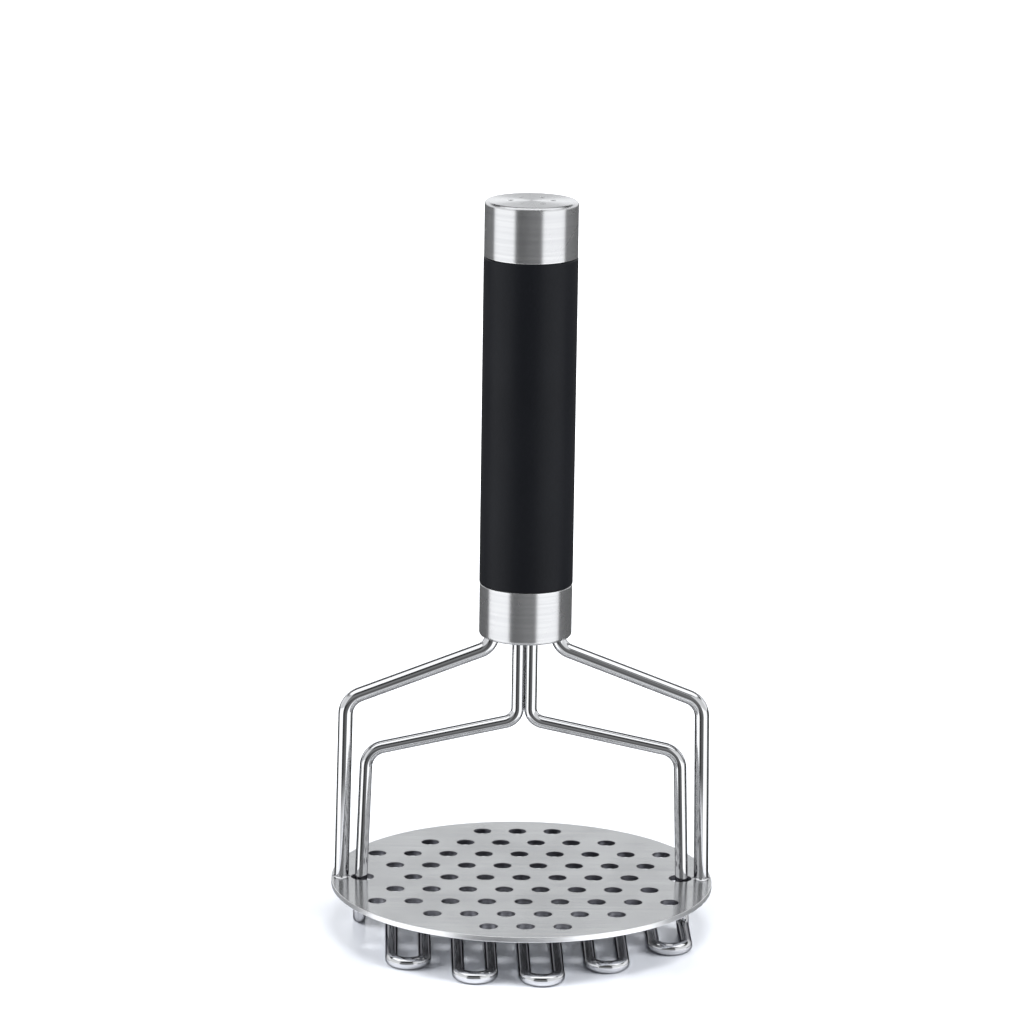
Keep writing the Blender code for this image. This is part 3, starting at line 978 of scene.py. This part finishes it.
@dataclass
class OuterWires(Assembly):
    """The two wires that hold the disc: a root in the ferrule, a sloping arm, a shoulder and a welded leg."""

    radius: float = 0.0020
    root_x: float = 0.0090
    root_top: float = 0.0920
    root_corner: float = 0.0810
    root_bend: float = 0.0050
    shoulder_x: float = 0.0490
    shoulder_z: float = 0.0655
    shoulder_bend: float = 0.0060
    foot_x: float = 0.0499
    disc_top: float = 0.0146
    foot_sink: float = 0.0001
    weld_spread: float = 0.0005
    weld_height: float = 0.0006
    weld_core: float = 0.5
    weld_overlap: float = 0.995
    weld_swell: tuple[float, float] = (0.035, 0.025)

    def route(self, side: int) -> list[Vector]:
        """Lay one wire.

        Args:
            side: -1 for the left wire, 1 for the right one.

        Returns:
            The centre line, from the root down.
        """
        corners = [
            (Vector((side * self.root_x, 0, self.root_top)), 0.0),
            (Vector((side * self.root_x, 0, self.root_corner)), self.root_bend),
            (Vector((side * self.shoulder_x, 0, self.shoulder_z)), self.shoulder_bend),
            (Vector((side * self.foot_x, 0, self.disc_top - self.foot_sink)), 0.0),
        ]
        return bent(corners)

    def weld(self, side: int, shape: bmesh.types.BMesh) -> None:
        """Add the small bead where a leg stands on the disc.

        Args:
            side: Which leg.
            shape: What the bead is added to.
        """
        core = self.radius * self.weld_core
        broad, fine = self.weld_swell
        slope = []
        for turn in quarter(6):
            widen = self.weld_spread * (1 - sin(turn))
            height = self.disc_top + self.weld_height * (1 - cos(turn))
            slope.append((self.radius * self.weld_overlap + widen, height))
        bead = turned([(core, self.disc_top + self.weld_height), *slope[::-1], (core, self.disc_top)], 48)
        for vert in bead.verts:
            angle = Vector((vert.co.x, vert.co.y)).angle_signed(Vector((1, 0)), 0.0)
            swell = 1 + broad * sin(3 * angle + side) + fine * sin(7 * angle)
            vert.co.x, vert.co.y = vert.co.x * swell + side * self.foot_x, vert.co.y * swell
        mesh = bpy.data.meshes.new("bead")
        bead.to_mesh(mesh)
        bead.free()
        shape.from_mesh(mesh)
        bpy.data.meshes.remove(mesh)

    def build(self, finishes: Finishes) -> None:
        """Make both wires.

        Args:
            finishes: The materials.
        """
        for side, label in ((-1, "left"), (1, "right")):
            shape = swept(self.route(side), self.radius)
            self.weld(side, shape)
            wire = as_piece(f"{label}_outer_wire", shape, finishes.wire)
            fit(wire, Body.HANDLE, "polished_steel", f"outer_wire_{label}")


@dataclass
class PressWire(Assembly):
    """The sliding wire: hooks, two stems side by side, arms, legs and the flat grid under the disc."""

    radius: float = 0.00175
    stem_x: float = 0.00175
    hook_end: float = 0.0080
    hook_z: float = 0.11685
    hook_bend: float = 0.0035
    stem_corner: float = 0.0602
    stem_bend: float = 0.0042
    shoulder_x: float = 0.0432
    shoulder_z: float = 0.0511
    shoulder_bend: float = 0.0058
    grid_x: float = 0.0449
    elbow_bend: float = 0.0044
    runs: int = 11
    tips: tuple[float, ...] = (0.0367, 0.0483, 0.0502, 0.0389, 0.0233)

    def half(self, side: int) -> list[Corner]:
        """Lay half the wire; the other half is the same, turned half a turn about the handle.

        Args:
            side: -1 for the left half, 1 for the right one.

        Returns:
            The corners, from the hook to the middle of the grid.
        """
        pitch = 2 * self.grid_x / (self.runs - 1)
        corners = [
            (Vector((-self.hook_end, 0, self.hook_z)), 0.0),
            (Vector((-self.stem_x, 0, self.hook_z)), self.hook_bend),
            (Vector((-self.stem_x, 0, self.stem_corner)), self.stem_bend),
            (Vector((-self.shoulder_x, 0, self.shoulder_z)), self.shoulder_bend),
            (Vector((-self.grid_x, 0, self.radius)), self.elbow_bend),
        ]
        for i in range((self.runs - 1) // 2):
            end = self.tips[::-1][i // 2] if i % 2 == 0 else -self.tips[i // 2]
            for run in (i, i + 1):
                corners.append((Vector((-self.grid_x + run * pitch, end, self.radius)), pitch / 2))
        turn = Matrix.Rotation(0 if side < 0 else pi, 3, "Z")
        return [(turn @ place, bend) for place, bend in corners]

    def build(self, finishes: Finishes) -> None:
        """Make the wire.

        Args:
            finishes: The materials.
        """
        route = bent(self.half(-1) + self.half(1)[::-1], step=radians(7))
        wire = as_piece("grid_and_stems", swept(route, self.radius, sides=24), finishes.wire)
        fit(wire, Body.PRESS, "polished_steel", "press_wire")


@dataclass
class SteelCup(Assembly):
    """A drawn steel cup on one end of the grip, its closed end rounded and its open end eased."""

    name: str
    node: str
    closed_up: bool
    radius: float = 0.0127
    wall: float = 0.0008
    corner: float = 0.0010
    ease: float = 0.00018
    flare: float = 0.0002
    flare_depth: float = 0.0006

    @abstractmethod
    def holes(self) -> list[Profile]:
        """Outline the holes of the closed end.

        Returns:
            The outlines.
        """

    def build(self, finishes: Finishes) -> None:
        """Turn the cup and punch its closed end.

        Args:
            finishes: The materials.
        """
        cup = self.shell(finishes.cup)
        low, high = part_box(self.node)
        face, inside = (high.z, -1) if self.closed_up else (low.z, 1)
        start = face + inside * self.flare_depth
        cutters = [flared_cutter(outline, start, face, self.flare) for outline in self.holes()]
        fit(carved(cup, cutters), Body.HANDLE, "brushed_steel", self.node)

    def shell(self, material: bpy.types.Material) -> bpy.types.Object:
        """Turn the plain cup.

        Args:
            material: Its finish.

        Returns:
            The cup, with no holes.
        """
        low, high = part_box(self.node)
        closed, open_end = (high.z, low.z) if self.closed_up else (low.z, high.z)
        floor = closed - self.wall if self.closed_up else closed + self.wall
        inner = self.radius - self.wall
        profile = rounded([
            (0.0, closed, 0.0),
            (self.radius, closed, self.corner),
            (self.radius, open_end, self.ease),
            (inner, open_end, self.ease),
            (inner, floor, self.corner / 3),
            (0.0, floor, 0.0),
        ])
        return as_piece(self.name, turned(profile), material)


@dataclass
class Ferrule(SteelCup):
    """The lower cup, punched for the stems and the two outer wires."""

    name: str = "lower_ferrule"
    node: str = "bottom_ferrule"
    closed_up: bool = False
    slot_length: float = 0.0041
    slot_width: float = 0.00235
    root_x: float = 0.0090
    root_hole: float = 0.0023

    def holes(self) -> list[Profile]:
        """Outline the slot and both round holes."""
        roots = [circle(self.root_hole, (side * self.root_x, 0.0)) for side in (-1, 1)]
        return [obround(self.slot_length, self.slot_width), *roots]


@dataclass
class EndCap(SteelCup):
    """The upper cup, with a ring of small vent holes in its flat end."""

    name: str = "end_cap"
    node: str = "top_cap"
    closed_up: bool = True
    vents: int = 6
    vent_radius: float = 0.00075
    ring_radius: float = 0.0057

    def holes(self) -> list[Profile]:
        """Outline the vents."""
        ring = circle(self.ring_radius, steps=self.vents)
        return [circle(self.vent_radius, centre, steps=28) for centre in ring]


@dataclass
class SoftGrip(Assembly):
    """The rubber sleeve between the two cups."""

    wall: float = 0.0011
    ease: float = 0.00035
    tuck: float = 0.0002

    def build(self, finishes: Finishes) -> None:
        """Make the sleeve.

        Args:
            finishes: The materials.
        """
        low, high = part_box("grip_sleeve")
        outer = high.x
        inner = outer - self.wall
        bottom, top = low.z - self.tuck, high.z + self.tuck
        sides = [(inner, bottom, 0.0), (outer, bottom, self.ease), (outer, top, self.ease), (inner, top, 0.0)]
        sleeve = as_piece("soft_grip", turned(rounded(sides)), finishes.grip)
        fit(sleeve, Body.HANDLE, "black_rubber", "grip_sleeve")


@dataclass
class Mechanism(Assembly):
    """What the handle hides: the tube and its plugs, and the slider under its spring."""

    wire_radius: float = 0.00075
    turns: int = 12
    turn_gap: float = 0.00015
    travel: float = 0.009
    steps: int = 28

    def spring(self, material: bpy.types.Material) -> None:
        """Wind the spring, with a closed turn at each end.

        Args:
            material: Its finish.
        """
        low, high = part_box("press_spring")
        coil = (high.x - low.x) / 2 - self.wire_radius
        bottom, top = low.z + self.wire_radius, high.z - self.wire_radius
        closed = 2 * self.wire_radius + self.turn_gap
        pitch = (top - bottom - 2 * closed) / (self.turns - 2)
        route = []
        for i in range(self.turns * self.steps + 1):
            turns = i / self.steps
            height = bottom + closed * min(turns, 1) + pitch * min(max(turns - 1, 0), self.turns - 2)
            height += closed * max(turns - self.turns + 1, 0)
            route.append(Vector((coil * cos(2 * pi * turns), coil * sin(2 * pi * turns), height)))
        spring = as_piece("return_spring", swept(route, self.wire_radius, sides=14), material)
        fit(spring, Body.HANDLE, "spring_steel", "press_spring")
        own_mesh(spring)

    def dress(self, finishes: Finishes) -> None:
        """Give each carried-over node its finish.

        Args:
            finishes: The materials.
        """
        coats = {
            finishes.tube: ("core_tube", "upper_spring_washer", "lower_spring_washer"),
            finishes.aluminium: ("end_plug",),
            finishes.acetal: ("stem_guide", "cap_insert", "slider"),
            finishes.bumper: ("stop_bumper",),
            finishes.screw: (
                "plug_screw_front", "plug_screw_back", "insert_screw_front", "insert_screw_back",
            ),
        }
        for material, names in coats.items():
            for name in names:
                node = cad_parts[name]
                node.data.materials.clear()
                node.data.materials.append(material)
                LOG.info("%s dressed in %s", name, material.name)

    def build(self, finishes: Finishes) -> None:
        """Dress the carried-over pieces and wind the spring."""
        self.dress(finishes)
        self.spring(finishes.spring)


# ---------------------------------------------------------------- studio


@dataclass(frozen=True)
class Softbox:
    """A large soft light that faces the tool; what metal mirrors instead is the studio's own tones."""

    name: str
    place: tuple[float, float, float]
    size: tuple[float, float]
    power: float
    aim: tuple[float, float, float] = (0.0, 0.0, 0.07)

    def build(self) -> None:
        """Hang the light."""
        data = bpy.data.lights.new(self.name, "AREA")
        data.shape = "RECTANGLE"
        data.size, data.size_y = self.size
        data.energy = self.power
        lamp = placed(self.name, data)
        lamp.visible_glossy = False
        lamp.location = self.place
        lamp.rotation_mode = "QUATERNION"
        lamp.rotation_quaternion = (Vector(self.aim) - Vector(self.place)).to_track_quat("-Z", "Y")


@dataclass
class Studio:
    """A plain pale floor, soft light and the camera."""

    floor_half: float = 4.0
    floor_colour: Colour = (0.84, 0.865, 0.92)
    floor_roughness: float = 0.20
    floor_gloss: float = 0.35
    glow_from: float = 0.045
    glow_to: float = 0.56
    glow: float = 1.0
    near_from: float = 0.060
    near_to: float = 0.082
    white: float = 1.75
    side_wall: float = 1.0
    front_tones: tuple[float, float] = (0.05, 0.19)
    near_front: float = 0.8
    back_tone: float = 0.13
    room_front: tuple[float, float] = (0.26, 0.07)
    room_back: tuple[float, float] = (1.2, 0.05)
    ceiling: float = 1.7
    ceiling_lead: float = 1.5
    ceiling_depth: Span = (0.66, 0.78)
    ceiling_width: Span = (1.0, 1.4)
    least_rise: float = 0.05
    table_turn: Span = (radians(-22), radians(18))
    card_front: Span = (radians(30), radians(39))
    card_back: Span = (radians(93), radians(101))
    near_heights: Span = (-0.52, -0.42)
    front_heights: Span = (0.36, 0.46)
    back_heights: Span = (0.42, 0.50)
    card_heights: Span = (0.50, 0.70)
    front_horizon: Span = (-0.02, 0.02)
    horizon: Span = (-0.03, 0.03)
    fill_share: float = 0.34
    skew: float = radians(8)
    eye: tuple[float, float, float] = (-0.0409, -1.3127, 0.4342)
    right: tuple[float, float, float] = (0.99961, -0.02801, 0.0)
    ahead: tuple[float, float, float] = (0.02724, 0.97198, -0.23349)
    roll: float = radians(0.85)
    lens: float = 174.2
    boxes: tuple[Softbox, ...] = (
        Softbox("left_softbox", (-0.88, -0.15, 0.42), (0.8, 0.6), 12.2),
        Softbox("right_softbox", (0.84, -0.30, 0.42), (0.8, 0.6), 11.1),
        Softbox("top_softbox", (0.08, -0.38, 1.15), (0.40, 0.34), 6.5),
    )

    def floor(self) -> None:
        """Lay the floor. It glows softly further out, and metal mirrors only the part near the tool."""
        shape = bmesh.new()
        bmesh.ops.create_grid(shape, x_segments=8, y_segments=8, size=self.floor_half)
        material = bpy.data.materials.new("pale_floor")
        material.use_nodes = True
        graph = Graph(material.node_tree)
        place = graph.node("TexCoord").outputs["Object"]
        path = graph.node("LightPath")
        reach = graph.node("VectorMath", {0: place}, operation="LENGTH").outputs["Value"]
        glow = graph.ranged(reach, (self.glow_from, self.glow_to, 0.0, self.glow))
        near = graph.ranged(reach, (self.near_from, self.near_to, 1.0, 0.0))
        unlit = graph.math("SUBTRACT", 1.0, path.outputs["Is Diffuse Ray"])
        solid = graph.math("MAXIMUM", near, graph.math("SUBTRACT", 1.0, path.outputs["Is Glossy Ray"]))
        shader = material.node_tree.nodes["Principled BSDF"]
        shader.inputs["Base Color"].default_value = (*self.floor_colour, 1.0)
        shader.inputs["Roughness"].default_value = self.floor_roughness
        shader.inputs["Specular IOR Level"].default_value = self.floor_gloss
        shader.inputs["Emission Color"].default_value = (1.0, 1.0, 1.0, 1.0)
        graph.feed(shader.inputs["Emission Strength"], graph.math("MULTIPLY", glow, unlit))
        graph.feed(shader.inputs["Alpha"], solid)
        as_piece("studio_floor", shape, material)

    def camera(self) -> None:
        """Set up the camera."""
        ahead = Vector(self.ahead).normalized()
        right = Vector(self.right).normalized()
        up = right.cross(ahead).normalized()
        turn = Matrix((right, up, -ahead)).transposed() @ Matrix.Rotation(self.roll, 3, "Z")
        data = bpy.data.cameras.new("studio_camera")
        data.lens = self.lens
        data.sensor_width = 36.0
        data.clip_start, data.clip_end = 0.05, 20.0
        camera = placed("studio_camera", data)
        camera.matrix_world = Matrix.Translation(self.eye) @ turn.to_4x4()
        bpy.context.scene.camera = camera

    def room(self, graph: Graph) -> bpy.types.NodeSocket:
        """Shade what metal mirrors: a ceiling light, white cards at both sides, a dim front and back.

        Args:
            graph: The world's graph.

        Returns:
            The brightness.
        """
        axes = graph.node("SeparateXYZ", {0: graph.node("TexCoord").outputs["Generated"]})
        height = axes.outputs["Z"]
        ahead = graph.math("MULTIPLY", axes.outputs["Y"], -1.0)
        turn = graph.math("ADD", graph.math("ARCTAN2", axes.outputs["X"], ahead), self.skew)
        side = graph.math("ABSOLUTE", turn, 0.0)
        table = graph.ranged(turn, (*self.table_turn, *self.front_tones))
        below = graph.ranged(height, (*self.near_heights, self.near_front, table))
        above = graph.ranged(height, (*self.front_heights, *self.room_front))
        front = graph.ranged(height, (*self.front_horizon, below, above))
        backdrop = graph.ranged(height, (*self.back_heights, *self.room_back))
        sweep = graph.ranged(height, (*self.horizon, self.back_tone, backdrop))
        sides = graph.ranged(height, (*self.horizon, self.white, self.side_wall))
        cards = graph.ranged(height, (*self.card_heights, sides, self.room_back[1]))
        walls = graph.ranged(side, (*self.card_back, cards, sweep))
        around = graph.ranged(side, (*self.card_front, front, walls))
        rise = graph.math("MAXIMUM", height, self.least_rise)
        reach = graph.math("MAXIMUM", ahead, graph.math("MULTIPLY", axes.outputs["Y"], self.ceiling_lead))
        depth = graph.math("DIVIDE", reach, rise)
        width = graph.math("DIVIDE", graph.math("ABSOLUTE", axes.outputs["X"], 0.0), rise)
        panel = graph.ranged(width, (*self.ceiling_width, self.ceiling, 0.0))
        light = graph.ranged(depth, (*self.ceiling_depth, panel, 0.0))
        return graph.math("MAXIMUM", around, light)

    def world(self) -> None:
        """Light the room: metal mirrors its tones, other surfaces only get a little of them as fill light."""
        world = bpy.data.worlds.new("studio_room")
        world.use_nodes = True
        graph = Graph(world.node_tree)
        path = graph.node("LightPath")
        fill = graph.ranged(path.outputs["Is Diffuse Ray"], (0.0, 1.0, 1.0, self.fill_share))
        lit = graph.math("MULTIPLY", self.room(graph), fill)
        background = world.node_tree.nodes["Background"]
        background.inputs["Color"].default_value = (0.97, 0.985, 1.0, 1.0)
        graph.feed(background.inputs["Strength"], graph.math("MAXIMUM", lit, path.outputs["Is Camera Ray"]))
        bpy.context.scene.world = world
        bpy.context.scene.view_settings.view_transform = "Standard"

    def build(self) -> None:
        """Set up the whole studio."""
        self.floor()
        self.camera()
        self.world()
        for box in self.boxes:
            box.build()


def main() -> None:
    """Build the studio and then each sub-assembly."""
    logging.basicConfig(level=logging.INFO, format="%(name)s: %(message)s")
    Studio().build()
    finishes = Finishes()
    for part in (PunchedDisc(), OuterWires(), PressWire(), Ferrule(), EndCap(), SoftGrip(), Mechanism()):
        part.build(finishes)
        LOG.info("%s is in place", type(part).__name__)


if __name__ == "__main__":
    main()
